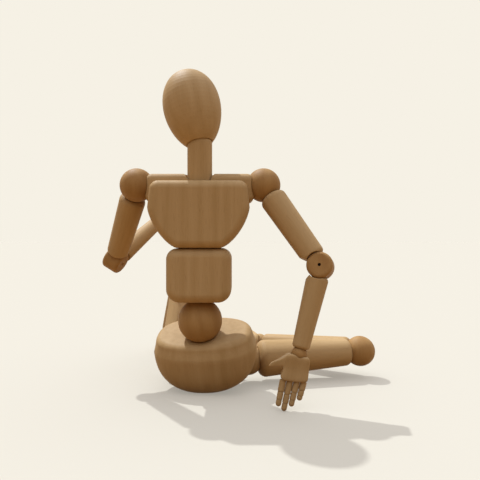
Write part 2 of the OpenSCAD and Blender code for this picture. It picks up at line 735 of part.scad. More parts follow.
// Three barrels with a groove at each finger joint
module finger(s, i) {
    len = finger_len * finger_share[i];
    light_wood() in_hand(s) translate(knuckle(i)) rotate([0, finger_lean[i], 0]) mirror([0, 0, 1])
        rotate_extrude() finger_profile(len, finger_d);
}
module finger_profile(len, d) {
    intersection() {
        union() {
            circle(d = d);
            translate([0, -d / 4]) square([0.38 * d, len - d / 4]);
            for (k = [0:2]) {
                from = len * (k == 0 ? 0 : k == 1 ? phalanges[0] : phalanges[0] + phalanges[1]);
                w = d * (1 - finger_taper * k);
                till = len * phalanges[k] - w / 2;
                translate([0, from + w * 0.3]) square([w / 2, till - w * 0.3]);
                translate([0, from + till]) circle(d = w);
            }
        }
        translate([0, -d]) square([d, len + 2 * d]);
    }
}

// Legs
module hip_spring(s) {
    steel() in_hip(s) rotate([0, s * 90, 0]) rotate([0, 0, 90])
        anchored_spring(hip_ball_d, hip_span / 2 - hip_anchor);
}
module hip_ball(s) {
    ball_wood() in_hip(s) rotate([0, 0, 90])
        eye_ball(hip_ball_d, [[-s * 90, 8, 8, -loop_shift],
            [180 + spread_of(leg_dir(s)), hip_play, hip_play, loop_shift]]);
}
module thigh_spring(s) {
    steel() in_leg(s) spring(thigh_len, hip_seat, knee_seat, roll_of(hip_bar(s), leg_aim(s)));
}
module thigh(s) {
    light_wood() in_leg(s) difference() {
        limb(thigh_len, thigh_top_d, thigh_low_d, hip_seat, knee_seat);
        cup(hip_ball_d);
        spring_bore(thigh_len);
        translate([0, 0, -thigh_len]) {
            cup(knee_ball_d);
            fold_room(knee_fold, 1, 1);
        }
    }
}
module knee_ball(s) {
    ball_wood() in_knee(s) eye_ball(knee_ball_d,
        [[-knee_bend(s) / 2, play_back, knee_upper_play, -loop_shift],
         [180 + knee_bend(s) / 2, knee_lower_play, play_back, loop_shift]]);
}
module shin(s) {
    light_wood() in_shin(s) difference() {
        limb(shin_len, shin_top_d, shin_low_d, knee_seat, ankle_seat);
        cup(knee_ball_d);
        fold_room(knee_fold, 1, -1);
        spring_bore(shin_len);
        translate([0, 0, -shin_len]) cup(ankle_ball_d);
    }
}
module shin_spring(s) {
    steel() in_shin(s) spring(shin_len, knee_seat, ankle_seat, 0);
}
module ankle_ball(s) {
    ball_wood() translate(ankle_at(s)) rotate(shin_aim(s))
        eye_ball(ankle_ball_d, [[0, ankle_play, ankle_play, -loop_shift]]);
}
module foot(s) {
    light_wood() in_foot(s) difference() {
        hull($fn = HULL_FN) {
            translate([0, heel_back - heel_d / 2, -ankle_h]) pad(heel_d, heel_h);
            translate([0.6, heel_back - foot_len + foot_w / 2, -ankle_h]) pad(foot_w, toe_h);
        }
        sphere(d = ankle_ball_d + 2 * glue_gap);
    }
}
// Round pad with a flat sole and rounded edges
module pad(d, h) {
    low = foot_edge / 2;
    rotate_extrude() polygon(concat([[0, 0]], arc([d / 2 - low, low], low, -90, 0),
        arc([d / 2 - foot_edge, h - foot_edge], foot_edge, 0, 90), [[0, h]]));
}

pelvis();
pelvis_eye();
waist_ball();
belly();
torso_spring();
chest_block();
shoulder_yoke();
neck_pin();
neck();
neck_spring();
head_eye();
head();
shoulder_spring(LEFT);  // left_shoulder_spring
shoulder_ball(LEFT);  // left_shoulder_ball
upper_arm_spring(LEFT);  // left_upper_arm_spring
upper_arm(LEFT);  // left_upper_arm
elbow_disc(LEFT);  // left_elbow_disc
elbow_pin(LEFT);  // left_elbow_pin
forearm(LEFT);  // left_forearm
forearm_spring(LEFT);  // left_forearm_spring
wrist_ball(LEFT);  // left_wrist_ball
wrist_eye(LEFT);  // left_wrist_eye
hand(LEFT);  // left_hand
finger(LEFT, 0);  // left_index_finger
finger(LEFT, 1);  // left_middle_finger
finger(LEFT, 2);  // left_ring_finger
finger(LEFT, 3);  // left_little_finger
shoulder_spring(RIGHT);  // right_shoulder_spring
shoulder_ball(RIGHT);  // right_shoulder_ball
upper_arm_spring(RIGHT);  // right_upper_arm_spring
upper_arm(RIGHT);  // right_upper_arm
elbow_disc(RIGHT);  // right_elbow_disc
elbow_pin(RIGHT);  // right_elbow_pin
forearm(RIGHT);  // right_forearm
forearm_spring(RIGHT);  // right_forearm_spring
wrist_ball(RIGHT);  // right_wrist_ball
wrist_eye(RIGHT);  // right_wrist_eye
hand(RIGHT);  // right_hand
finger(RIGHT, 0);  // right_index_finger
finger(RIGHT, 1);  // right_middle_finger
finger(RIGHT, 2);  // right_ring_finger
finger(RIGHT, 3);  // right_little_finger
hip_spring(LEFT);  // left_hip_spring
hip_ball(LEFT);  // left_hip_ball
thigh_spring(LEFT);  // left_thigh_spring
thigh(LEFT);  // left_thigh
knee_ball(LEFT);  // left_knee_ball
shin(LEFT);  // left_shin
shin_spring(LEFT);  // left_shin_spring
ankle_ball(LEFT);  // left_ankle_ball
foot(LEFT);  // left_foot
hip_spring(RIGHT);  // right_hip_spring
hip_ball(RIGHT);  // right_hip_ball
thigh_spring(RIGHT);  // right_thigh_spring
thigh(RIGHT);  // right_thigh
knee_ball(RIGHT);  // right_knee_ball
shin(RIGHT);  // right_shin
shin_spring(RIGHT);  // right_shin_spring
ankle_ball(RIGHT);  // right_ankle_ball
foot(RIGHT);  // right_foot
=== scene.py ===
"""Looks of a jointed wooden artist's figure, seated on a pale floor and seen from behind.

The turned pieces keep their solids and get wood with grain along each limb. The carved pieces, which are the
trunk's blocks, the yoke, the palms, the fingers and the feet, are modelled here with even, rounded edges.
"""

import json
import logging
import math
from contextlib import contextmanager
from dataclasses import dataclass
from enum import Enum
from typing import Callable, Iterator

import bmesh
import bpy
from mathutils import Euler, Matrix, Vector


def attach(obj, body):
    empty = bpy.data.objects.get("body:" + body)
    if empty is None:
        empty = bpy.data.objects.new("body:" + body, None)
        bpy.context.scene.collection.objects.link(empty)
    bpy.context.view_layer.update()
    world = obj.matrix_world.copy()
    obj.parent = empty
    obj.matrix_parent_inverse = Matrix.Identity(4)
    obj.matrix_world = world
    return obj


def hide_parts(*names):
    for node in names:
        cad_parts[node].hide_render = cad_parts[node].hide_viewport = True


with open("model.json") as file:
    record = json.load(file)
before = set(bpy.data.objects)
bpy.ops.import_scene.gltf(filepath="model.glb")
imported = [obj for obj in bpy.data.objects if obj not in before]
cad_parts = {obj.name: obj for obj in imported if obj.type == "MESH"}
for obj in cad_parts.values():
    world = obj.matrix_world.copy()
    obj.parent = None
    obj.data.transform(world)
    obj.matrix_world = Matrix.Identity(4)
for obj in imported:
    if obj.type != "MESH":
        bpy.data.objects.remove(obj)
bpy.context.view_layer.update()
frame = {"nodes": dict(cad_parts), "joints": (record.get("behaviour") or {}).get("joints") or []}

LOG = logging.getLogger("figure")
MM = 0.001
UP = Vector((0.0, 0.0, 1.0))
JOINT_AT: dict[str, Vector] = {j["name"]: Vector(j["pos_m"]) for j in frame["joints"]}
JOINT_AXIS: dict[str, Vector] = {j["name"]: Vector(j["axis"]) for j in frame["joints"]}
FINGERS = ("index_finger", "middle_finger", "ring_finger", "little_finger")

# Rest turns of the pieces that don't stand upright, in degrees about X, Y and Z
PELVIS_AIM = (-16.0, 3.0, -8.0)
LEFT_LEG_AIM = (-147.0, -9.0, 12.0)
LEFT_FOOT_AIM = (0.0, 0.0, 2.0)
RIGHT_FOOT_AIM = (181.0, -92.0, 180.0)

# Places in the plank that the carved pieces are cut from
TRUNK_PLANK = 100
LIMB_PLANK = 104
FINGER_PLANK = 10

Colour = tuple[float, float, float, float]
Triple = tuple[float, float, float]
Piece = bpy.types.Object
Socket = bpy.types.NodeSocket
PartTest = Callable[[bmesh.types.BMEdge | bmesh.types.BMFace], bool]


class Side(Enum):
    """The figure's own left or right."""

    LEFT = "left"
    RIGHT = "right"

    @property
    def sign(self) -> int:
        """1 on the left, which is +X, and -1 on the right."""
        return 1 if self is Side.LEFT else -1

    def named(self, piece: str) -> str:
        """The name of a piece on this side."""
        return f"{self.value}_{piece}"

    def across(self, place: "Triple | Vector") -> Vector:
        """A place or way on the left, or its mirror image on the right."""
        return Vector((self.sign * place[0], place[1], place[2]))


class Part(Enum):
    """What a step in edit mode selects."""

    EDGE = "EDGE"
    FACE = "FACE"


class Slot(Enum):
    """The wood finishes that the record names."""

    LIMB_WOOD = "limb_wood"
    BALL_WOOD = "ball_wood"


def turned(degrees: Triple) -> Matrix:
    """The turn about X, then Y, then Z as a 4x4 matrix."""
    return Euler([math.radians(a) for a in degrees], "XYZ").to_matrix().to_4x4()


def srgb(red: int, green: int, blue: int) -> Colour:
    """A screen colour, with shares from 0 to 255, as a linear one with full alpha."""
    shares = [c / 255 for c in (red, green, blue)]
    return (*(c / 12.92 if c <= 0.04045 else ((c + 0.055) / 1.055) ** 2.4 for c in shares), 1.0)


class NodeSheet:
    """A shader node tree that is being filled."""

    def __init__(self, tree: bpy.types.NodeTree) -> None:
        """Start from an empty tree."""
        self.tree = tree
        self.tree.nodes.clear()

    def node(self, kind: str, inputs: dict | None = None, **settings: object) -> bpy.types.Node:
        """Add a node.

        Args:
            kind: Blender's type name of the node.
            inputs: Values or sockets for its inputs, by name or number.
            **settings: Its other settings.

        Returns:
            The new node.
        """
        made = self.tree.nodes.new(kind)
        for key, value in settings.items():
            setattr(made, key, value)
        for key, value in (inputs or {}).items():
            if isinstance(value, Socket):
                self.tree.links.new(value, made.inputs[key])
            else:
                made.inputs[key].default_value = value
        return made

    def math(self, operation: str, first: object, second: object, clamp: bool = False) -> Socket:
        """The result of a sum of two values or sockets, kept between 0 and 1 where it is clamped."""
        made = self.node("ShaderNodeMath", {0: first, 1: second}, operation=operation, use_clamp=clamp)
        return made.outputs[0]

    def noise(self, place: Socket, scale: float, detail: float) -> Socket:
        """Noise from 0 to 1, with this many features per metre and octaves of finer noise."""
        made = self.node("ShaderNodeTexNoise", {"Vector": place, "Scale": scale, "Detail": detail})
        return made.outputs["Fac"]

    def ramp(self, value: Socket, places: tuple[float, ...], colours: tuple[Colour, ...]) -> Socket:
        """A value turned into a colour.

        Args:
            value: The socket to read.
            places: Places from 0 to 1.
            colours: The colour at each place.

        Returns:
            The socket with the colour.
        """
        made = self.node("ShaderNodeValToRGB", {"Fac": value})
        points = made.color_ramp.elements
        while len(points) < len(places):
            points.new(1.0)
        for point, place, colour in zip(points, places, colours):
            point.position = place
            point.color = colour
        return made.outputs["Color"]

    def upright(self, grain: Vector, step: Triple, number: int) -> Socket:
        """Object coordinates turned so that the grain stands upright.

        Args:
            grain: The way of the grain, in the frame.
            step: How far apart the patterns of two pieces lie.
            number: The piece's number.

        Returns:
            The socket with the coordinates.
        """
        place = self.node("ShaderNodeTexCoord").outputs["Object"]
        turn = grain.normalized().rotation_difference(UP).to_euler()
        shift = tuple(s * number for s in step)
        made = self.node("ShaderNodeMapping", {"Vector": place, "Rotation": turn, "Location": shift})
        return made.outputs[0]

    def surface(self, finish: "WoodFinish | SteelFinish", colour: Socket, wear: Socket, height: Socket,
                more: dict[str, float]) -> None:
        """Close the tree with the surface of a finish.

        Args:
            finish: The finish, for its roughness and relief.
            colour: The socket with the colour.
            wear: The socket that spreads the roughness.
            height: The socket with the relief.
            more: Values for other inputs of the surface.
        """
        rough = self.node("ShaderNodeMapRange", {
            "Value": wear, "To Min": finish.rough_low, "To Max": finish.rough_high})
        relief = self.node("ShaderNodeBump", {
            "Height": height, "Strength": finish.bump, "Distance": finish.bump_depth})
        skin = self.node("ShaderNodeBsdfPrincipled", {
            "Base Color": colour, "Roughness": rough.outputs[0], "Normal": relief.outputs[0], **more})
        self.node("ShaderNodeOutputMaterial", {"Surface": skin.outputs[0]})


def new_material(name: str) -> tuple[bpy.types.Material, NodeSheet]:
    """Start a material.

    Args:
        name: Its name.

    Returns:
        The material and its empty tree.
    """
    made = bpy.data.materials.new(name)
    made.use_nodes = True
    return made, NodeSheet(made.node_tree)


@dataclass(frozen=True)
class WoodFinish:
    """Turned hardwood under a thin matt oil, with its grain along the piece."""

    name: str
    deep: Colour
    middle: Colour
    pale: Colour
    pore: Colour
    tones: Triple = (0.28, 0.5, 0.74)
    streaks: float = 330.0
    streak_share: float = 0.56
    drift: float = 26.0
    drift_share: float = 0.22
    fibres: float = 1500.0
    fibre_share: float = 0.12
    fibre_rise: float = 0.7
    ring_bands: float = 42.0
    ring_bend: float = 5.0
    ring_scale: float = 0.8
    ring_share: float = 0.1
    pores: float = 3800.0
    pore_low: float = 0.62
    pore_high: float = 0.72
    pore_share: float = 0.24
    stretch: float = 0.055
    rough_low: float = 0.5
    rough_high: float = 0.66
    bump: float = 0.16
    bump_depth: float = 0.0002
    gloss: float = 0.14
    plank_step: Triple = (0.173, 0.311, 0.097)

    def material(self, piece: str, grain: Vector, number: int) -> bpy.types.Material:
        """The wood of one piece.

        Args:
            piece: The piece's name.
            grain: The way the grain runs, in the frame.
            number: The piece's number, which picks its place in the plank.

        Returns:
            The material.
        """
        made, sheet = new_material(f"{self.name}_{piece}")
        plank = sheet.upright(grain, self.plank_step, number)
        drawn = sheet.node("ShaderNodeMapping", {"Vector": plank, "Scale": (1, 1, self.stretch)}).outputs[0]
        tone = self._tone(sheet, plank, drawn)
        fibre = sheet.noise(drawn, self.fibres, detail=3.0)
        pore = self._pores(sheet, drawn)
        colour = sheet.ramp(tone, self.tones, (self.deep, self.middle, self.pale))
        speck = sheet.math("MULTIPLY", pore, self.pore_share)
        flecked = sheet.node("ShaderNodeMix", {0: speck, 6: colour, 7: self.pore}, data_type="RGBA")
        height = sheet.math("SUBTRACT", sheet.math("MULTIPLY", fibre, self.fibre_rise), pore)
        sheet.surface(self, flecked.outputs[2], fibre, height, {"Specular IOR Level": self.gloss})
        return made

    def _tone(self, sheet: NodeSheet, plank: Socket, drawn: Socket) -> Socket:
        """Streaks, growth rings and fibres as one value.

        Args:
            sheet: The tree to add to.
            plank: Coordinates with the grain upright.
            drawn: The same, drawn out along the grain.

        Returns:
            The socket with the tone.
        """
        streak = sheet.noise(drawn, self.streaks, detail=4.0)
        drift = sheet.noise(plank, self.drift, detail=1.0)
        fibre = sheet.noise(drawn, self.fibres, detail=2.0)
        ring = sheet.node("ShaderNodeTexWave", {
            "Vector": drawn, "Scale": self.ring_bands, "Distortion": self.ring_bend, "Detail": 2.0,
            "Detail Scale": self.ring_scale}, bands_direction="X").outputs["Fac"]
        tone = sheet.math("MULTIPLY", streak, self.streak_share)
        for value, share in ((drift, self.drift_share), (fibre, self.fibre_share), (ring, self.ring_share)):
            tone = sheet.math("ADD", tone, sheet.math("MULTIPLY", value, share))
        return tone

    def _pores(self, sheet: NodeSheet, drawn: Socket) -> Socket:
        """Short open pores along the grain, 1 in a pore and 0 beside it."""
        spots = sheet.noise(drawn, self.pores, detail=1.0)
        return sheet.node("ShaderNodeMapRange", {
            "Value": spots, "From Min": self.pore_low, "From Max": self.pore_high}).outputs[0]


@dataclass(frozen=True)
class SteelFinish:
    """Drawn steel wire and pins, with fine lines and a little tarnish. The elbow pins' near-black colours are
    painted shade of the bores they sit in.
    """

    name: str
    bright: Colour
    tarnish: Colour
    rough_low: float = 0.24
    rough_high: float = 0.46
    lines: float = 2600.0
    clouds: float = 700.0
    cloud_low: float = 0.35
    cloud_high: float = 0.75
    bump: float = 0.1
    bump_depth: float = 0.00005
    wire_step: Triple = (0.21, 0.13, 0.0)

    def material(self, piece: str, grain: Vector, number: int) -> bpy.types.Material:
        """The steel of one piece.

        Args:
            piece: The piece's name.
            grain: The way the drawing lines run, in the frame.
            number: The piece's number, which moves its pattern.

        Returns:
            The material.
        """
        made, sheet = new_material(f"{self.name}_{piece}")
        drawn = sheet.upright(grain, self.wire_step, number)
        line = sheet.noise(drawn, self.lines, detail=2.0)
        cloud = sheet.noise(drawn, self.clouds, detail=3.0)
        colour = sheet.ramp(cloud, (self.cloud_low, self.cloud_high), (self.bright, self.tarnish))
        sheet.surface(self, colour, line, line, {"Metallic": 1.0})
        return made


LIMB_WOOD = WoodFinish(Slot.LIMB_WOOD.value, srgb(172, 138, 91), srgb(181, 147, 101), srgb(190, 157, 112),
                       srgb(141, 106, 65))
BALL_WOOD = WoodFinish(Slot.BALL_WOOD.value, srgb(152, 111, 64), srgb(164, 124, 75), srgb(176, 137, 87),
                       srgb(120, 83, 46), streaks=280.0, stretch=0.09)
SPRING_STEEL = SteelFinish("spring_steel", srgb(176, 177, 180), srgb(118, 116, 114))
# Elbow pins: real steel pins, coloured near-black as painted shade, so that their ends read as the dark bores
# they sit in
PIN_BORE_SHADE = SteelFinish("pin_bore_shade", srgb(26, 24, 23), srgb(16, 14, 13), rough_low=0.5, rough_high=0.7)


class Bench:
    """Modelling steps on one object at a time, in millimetres at the origin."""

    CORNER_STEPS = 16
    RIM_STEPS = 7
    BALL_SIDES = 72
    ROD_SIDES = 64
    SMOOTH_ANGLE = math.radians(32)
    NEAR = 0.01
    ALONG = 0.9
    FLAT = 0.99

    @staticmethod
    def pick(piece: Piece) -> None:
        """Make one object the only selected one and the active one."""
        bpy.ops.object.select_all(action="DESELECT")
        piece.select_set(True)
        bpy.context.view_layer.objects.active = piece

    @staticmethod
    @contextmanager
    def editing(piece: Piece) -> Iterator[None]:
        """Edit mode on one object, left again at the end.

        Args:
            piece: The object to edit.

        Returns:
            A context with nothing in it.
        """
        Bench.pick(piece)
        bpy.ops.object.mode_set(mode="EDIT")
        yield
        bpy.ops.object.mode_set(mode="OBJECT")

    @staticmethod
    def corners(piece: Piece) -> Iterator[bmesh.types.BMVert]:
        """Go through the corners of a mesh, and write it back after the last.

        Args:
            piece: The object in edit mode.

        Returns:
            The corners.
        """
        shape = bmesh.from_edit_mesh(piece.data)
        yield from shape.verts
        bmesh.update_edit_mesh(piece.data)

    @staticmethod
    def select(piece: Piece, part: Part, wanted: PartTest) -> None:
        """Select the edges or faces that pass a test, and no others.

        Args:
            piece: The object in edit mode.
            part: Edges or faces.
            wanted: The test.
        """
        bpy.ops.mesh.select_mode(type=part.value)
        bpy.ops.mesh.select_all(action="DESELECT")
        shape = bmesh.from_edit_mesh(piece.data)
        shape.normal_update()
        for found in filter(wanted, shape.edges if part is Part.EDGE else shape.faces):
            found.select_set(True)
        bmesh.update_edit_mesh(piece.data)

    @staticmethod
    def face_outwards() -> None:
        """Turn all faces of the object in edit mode outwards."""
        bpy.ops.mesh.select_all(action="SELECT")
        bpy.ops.mesh.normals_make_consistent(inside=False)

    @staticmethod
    def added(primitive: Callable[..., object], name: str, **sizes: object) -> Piece:
        """Add a primitive with nothing else selected.

        Args:
            primitive: The operator that adds it.
            name: The object's name.
            **sizes: The operator's settings.

        Returns:
            The object.
        """
        bpy.ops.object.select_all(action="DESELECT")
        primitive(**sizes)
        piece = bpy.context.object
        piece.name = name
        return piece

    @staticmethod
    def cube(name: str, size: Triple, middle: Triple) -> Piece:
        """A cube of this size, ready to be shaped.

        Args:
            name: The object's name.
            size: Width, depth and height.
            middle: Its middle.

        Returns:
            The object, with its place in its mesh.
        """
        piece = Bench.added(bpy.ops.mesh.primitive_cube_add, name, size=1.0)
        with Bench.editing(piece):
            bpy.ops.mesh.select_all(action="SELECT")
            bpy.ops.transform.resize(value=size, center_override=(0, 0, 0))
            bpy.ops.transform.translate(value=middle)
        return piece

    @staticmethod
    def disc(name: str, sides: int) -> Piece:
        """A round sheet of radius 1 with this many corners, ready to be drawn out."""
        return Bench.added(bpy.ops.mesh.primitive_circle_add, name, vertices=sides, fill_type="NGON")

    @staticmethod
    def draw_out(rings: list[Triple], middle_y: float = 0.0) -> None:
        """Draw the sheet in edit mode out from ring to ring.

        Args:
            rings: Height, half width and half depth of each ring.
            middle_y: Where their middle lies along Y.
        """
        bpy.ops.mesh.select_all(action="SELECT")
        bpy.ops.transform.resize(value=(*rings[0][1:], 1), center_override=(0, 0, 0))
        bpy.ops.transform.translate(value=(0, middle_y, rings[0][0]))
        for (z, wide, deep), (next_z, next_wide, next_deep) in zip(rings, rings[1:]):
            bpy.ops.mesh.extrude_region_move(TRANSFORM_OT_translate={"value": (0, 0, next_z - z)})
            bpy.ops.transform.resize(value=(next_wide / wide, next_deep / deep, 1),
                                     center_override=(0, middle_y, next_z))
        Bench.face_outwards()

    @staticmethod
    def apply(piece: Piece, step: bpy.types.Modifier) -> None:
        """Apply a modifier to its piece."""
        Bench.pick(piece)
        bpy.ops.object.modifier_apply(modifier=step.name)

    @staticmethod
    def cut(piece: Piece, cutter: Piece) -> None:
        """Take a cutter out of a piece and throw the cutter away.

        Args:
            piece: The piece.
            cutter: The cutter.
        """
        step = piece.modifiers.new("cut", "BOOLEAN")
        step.operation = "DIFFERENCE"
        step.solver = "EXACT"
        step.object = cutter
        Bench.apply(piece, step)
        bpy.data.objects.remove(cutter, do_unlink=True)

    @staticmethod
    def cup(piece: Piece, radius: float, at: Triple | Vector) -> None:
        """Cut a ball-shaped cup out of a piece."""
        Bench.cut(piece, Bench.added(
            bpy.ops.mesh.primitive_uv_sphere_add, "cup", segments=Bench.BALL_SIDES,
            ring_count=Bench.BALL_SIDES // 2, radius=radius, location=tuple(at)))

    @staticmethod
    def drill(piece: Piece, start: Vector, way: Vector, radius: float, length: float,
              far: float = 0.0) -> None:
        """Cut a bore or a flared bore out of a piece.

        Args:
            piece: The piece.
            start: The middle of its first end.
            way: The way it runs.
            radius: Its radius at the start.
            length: Its length.
            far: Its radius at the far end, or 0 for the same.
        """
        step = way.normalized()
        Bench.cut(piece, Bench.added(
            bpy.ops.mesh.primitive_cone_add, "bore", vertices=Bench.ROD_SIDES, radius1=radius,
            radius2=far or radius, depth=length, location=start + step * (length / 2),
            rotation=UP.rotation_difference(step).to_euler()))

    @staticmethod
    def finish(piece: Piece, local: Matrix) -> None:
        """Put a piece in its place in the frame and shade it evenly.

        Args:
            piece: The piece, in millimetres at the origin.
            local: Where its own frame is, in metres.
        """
        Bench.pick(piece)
        piece.matrix_world = local @ Matrix.Scale(MM, 4)
        bpy.ops.object.transform_apply(location=True, rotation=True, scale=True)
        bpy.ops.object.shade_smooth_by_angle(angle=Bench.SMOOTH_ANGLE)
        even = piece.modifiers.new("even", "WEIGHTED_NORMAL")
        even.keep_sharp = True
        Bench.apply(piece, even)


def fit(piece: Piece, body: str, node: str, grain: Vector, number: int) -> None:
    """Let a carved piece stand for its node, with its wood and its body.

    Args:
        piece: The carved piece.
        body: The body that it rides on.
        node: The node that it stands for.
        grain: The way of its grain.
        number: The piece's place in the plank.
    """
    piece.data.materials.clear()
    piece.data.materials.append(LIMB_WOOD.material(piece.name, grain, number))
    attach(piece, body)
    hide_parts(node)
    LOG.info("carved %s", piece.name)


@dataclass
class Block:
    """A carved block: an upright outline with round corners, thick along Y, with its rims rounded over."""

    width: float
    depth: float
    low: float
    high: float
    middle_y: float
    low_corner: float
    high_corner: float
    rim: float
    top_share: float = 1.0
    low_round: float = 0.5
    low_rise: float = 0.0

    def build(self, name: str) -> Piece:
        """Model the block in its own frame.

        Args:
            name: The object's name.

        Returns:
            The object, in millimetres.
        """
        piece = Bench.cube(name, (self.width, self.depth, self.high - self.low),
                           (0, self.middle_y, (self.low + self.high) / 2))
        with Bench.editing(piece):
            Bench.select(piece, Part.EDGE, lambda e: self._crosswise_at(e, self.low))
            bpy.ops.mesh.bevel(offset=self.low_corner, segments=Bench.CORNER_STEPS, profile=self.low_round,
                               clamp_overlap=False)
            if self.low_rise:
                self._draw_up(piece)
            Bench.select(piece, Part.FACE, lambda f: f.normal.z > Bench.ALONG)
            bpy.ops.transform.resize(value=(self.top_share, 1, 1), center_override=(0, 0, 0))
            Bench.select(piece, Part.EDGE, lambda e: self._crosswise_at(e, self.high))
            bpy.ops.mesh.bevel(offset=self.high_corner, segments=Bench.CORNER_STEPS // 2, clamp_overlap=False)
            Bench.select(piece, Part.EDGE, self._on_rim)
            bpy.ops.mesh.bevel(offset=self.rim, segments=Bench.RIM_STEPS, clamp_overlap=False)
            bpy.ops.mesh.select_all(action="SELECT")
            bpy.ops.mesh.remove_doubles(threshold=Bench.NEAR)
            Bench.face_outwards()
        return piece

    def _draw_up(self, piece: Piece) -> None:
        """Draw the low corners up to their own height.

        Args:
            piece: The block in edit mode.
        """
        for vert in Bench.corners(piece):
            if vert.co.z < self.high - Bench.NEAR:
                vert.co.z = self.low + (vert.co.z - self.low) * self.low_rise / self.low_corner

    @staticmethod
    def _crosswise_at(edge: bmesh.types.BMEdge, height: float) -> bool:
        """Whether an edge runs along Y at this height."""
        level = all(abs(v.co.z - height) < Bench.NEAR for v in edge.verts)
        way = edge.verts[1].co - edge.verts[0].co
        return level and abs(way.y) > Bench.ALONG * way.length

    @staticmethod
    def _on_rim(edge: bmesh.types.BMEdge) -> bool:
        """Whether an edge is where the front or the back meets the outline."""
        flat = [abs(f.normal.y) > Bench.FLAT for f in edge.link_faces]
        return len(flat) == 2 and flat[0] != flat[1]


@dataclass
class Tub:
    """The pelvis before its cups are cut: a tub with a flat top, a tight upper edge and a round underside."""

    half_width: float = 27.2
    half_depth: float = 17.6
    low: float = -38.4
    high: float = -8.2
    middle_y: float = -4.6
    bowl: float = 21.5
    bowl_share: float = 0.86
    keel: float = 15.0
    keel_share: float = 0.62
    fullness: float = 2.5
    edge: float = 3.2
    draw_in: float = 2.6
    slope: float = 6.0
    corner: float = 2.5
    around: int = 96
    bowl_steps: int = 18
    wall_steps: int = 4
    edge_steps: int = 8

    def build(self, name: str) -> Piece:
        """Model the tub from rings of its plan, from its underside to its top.

        Args:
            name: The object's name.

        Returns:
            The object, in millimetres.
        """
        piece = Bench.disc(name, self.around)
        with Bench.editing(piece):
            self._square_plan(piece)
            Bench.draw_out(self.rings(), self.middle_y)
            self._slope_top(piece)
        return piece

    def rings(self) -> list[Triple]:
        """Height, half width and half depth of each ring."""
        widest = self.low + self.bowl
        top = self.high - self.edge
        turns = [math.pi / 2 * i / self.bowl_steps for i in range(self.bowl_steps)]
        heights = [self.low + self.bowl * (1 - math.cos(turn)) for turn in turns]
        heights += [widest + (top - widest) * i / self.wall_steps for i in range(self.wall_steps + 1)]
        made = [(z, self._swell(z, self.bowl, self.half_width, self.bowl_share * self.half_width),
                 self._swell(z, self.keel, self.half_depth, self.keel_share * self.keel)) for z in heights]
        wide, deep = made[-1][1:]
        for i in range(1, self.edge_steps + 1):
            turn = math.pi / 2 * i / self.edge_steps
            inward = self.edge * (1 - math.cos(turn))
            made.append((top + self.edge * math.sin(turn), wide - inward, deep - inward))
        return made

    def _swell(self, z: float, rise: float, full: float, inset: float) -> float:
        """How far the wall stands out at a height.

        Args:
            z: The height.
            rise: The height above the underside at which the wall is upright.
            full: How far it stands out there.
            inset: How much less it stands out at the underside.

        Returns:
            The distance from the middle.
        """
        share = min(1.0, (z - self.low) / rise)
        bowed = full - inset * (1 - (1 - (1 - share) ** self.fullness) ** (1 / self.fullness))
        above = max(0.0, z - self.low - self.bowl) / (self.high - self.low - self.bowl)
        return bowed - self.draw_in * above

    def _square_plan(self, piece: Piece) -> None:
        """Turn the round plan into one between an oval and a box.

        Args:
            piece: The tub in edit mode.
        """
        for vert in Bench.corners(piece):
            size = (abs(vert.co.x) ** self.corner + abs(vert.co.y) ** self.corner) ** (1 / self.corner)
            vert.co.x /= size
            vert.co.y /= size

    def _slope_top(self, piece: Piece) -> None:
        """Let the top fall away towards the back, and the wall under it less and less.

        Args:
            piece: The tub in edit mode.
        """
        widest = self.low + self.bowl
        fall = math.tan(math.radians(self.slope))
        for vert in Bench.corners(piece):
            share = max(0.0, (vert.co.z - widest) / (self.high - widest))
            vert.co.z -= fall * (vert.co.y - self.middle_y) * share


